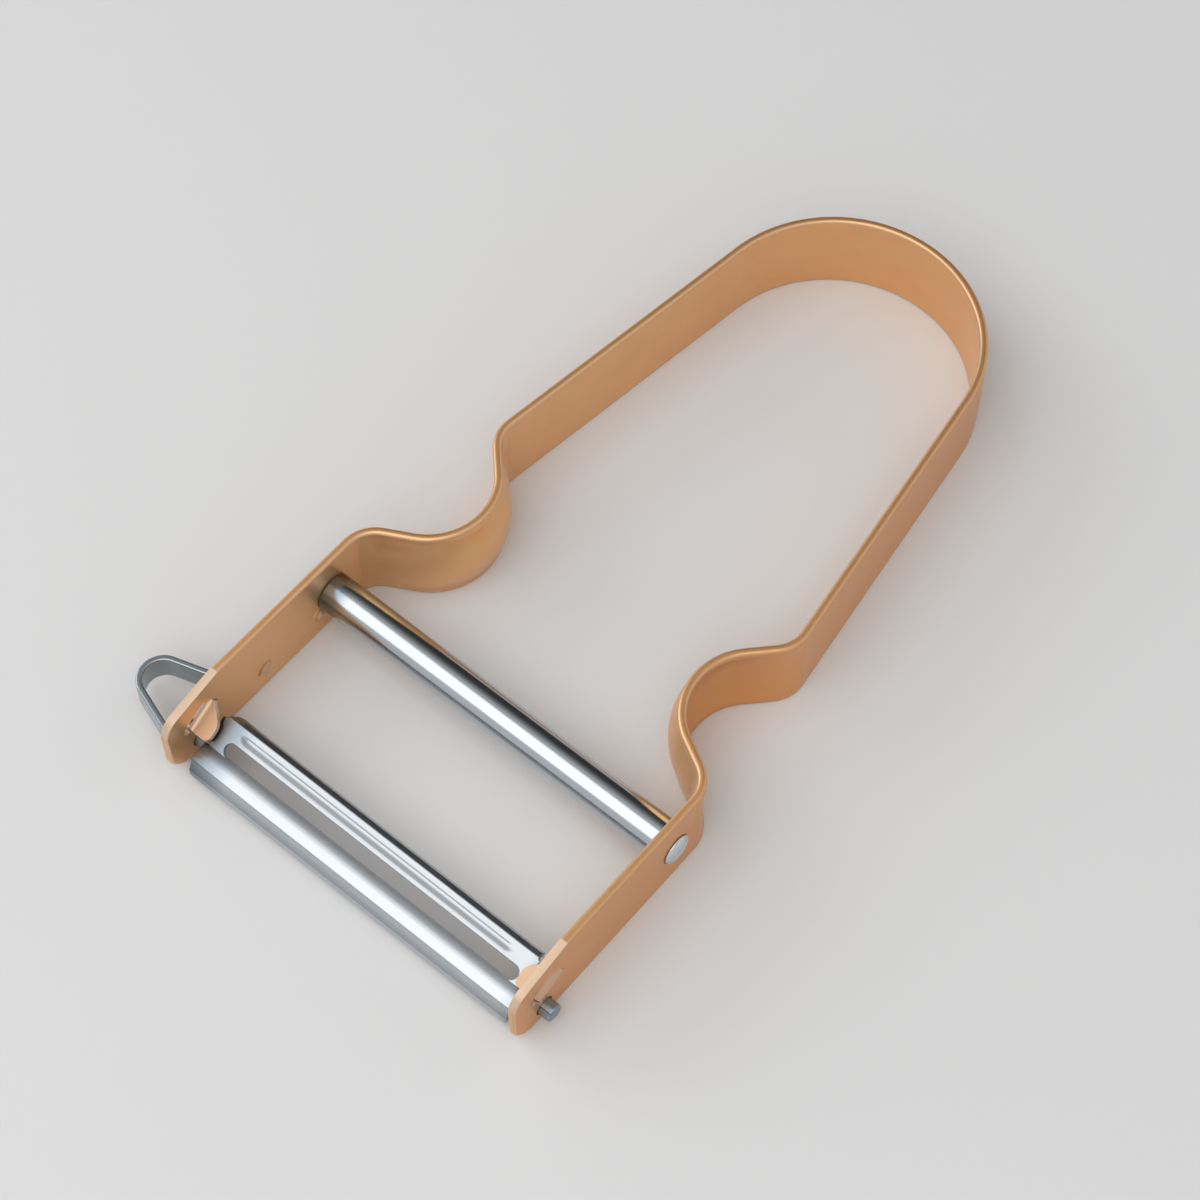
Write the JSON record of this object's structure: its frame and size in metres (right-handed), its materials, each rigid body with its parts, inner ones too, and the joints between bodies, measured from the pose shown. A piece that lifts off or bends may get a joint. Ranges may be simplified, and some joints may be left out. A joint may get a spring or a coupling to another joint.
{
  "type": "vegetable peeler",
  "caption": "Swivel-blade vegetable peeler with a bent metal strip handle, a round crossbar and a side loop for digging out potato eyes.",
  "frame": {"origin": "middle of the footprint, on the plane that the strip's far edge lies on", "axes": "+X along the blade, towards the leg without the loop; +Y from the blade to the bow of the handle; +Z out of the flat, on the side that the raised side of the blade faces"},
  "size_m": [0.0652, 0.1116, 0.0125],
  "materials": {
    "copper_coloured_aluminium": "satin copper-coloured anodising",
    "polished_tube": "bright drawn tube",
    "rivet_steel": "satin",
    "blade_steel": "polished stamped sheet",
    "loop_steel": "satin with bright rolled edges"
  },
  "bodies": {
    "handle": {"handle_frame": "copper_coloured_aluminium", "crossbar": "polished_tube", "crossbar_rivet": "rivet_steel", "eye_loop": "loop_steel"},
    "blade": {"blade": "blade_steel"}
  },
  "joints": [
    {"name": "blade_swivel", "type": "hinge", "parent": "handle", "child": "blade", "pos_m": [0.00407, -0.05064, 0.0025], "axis": [1, 0, 0], "range_deg": [-18, 0]}
  ]
}
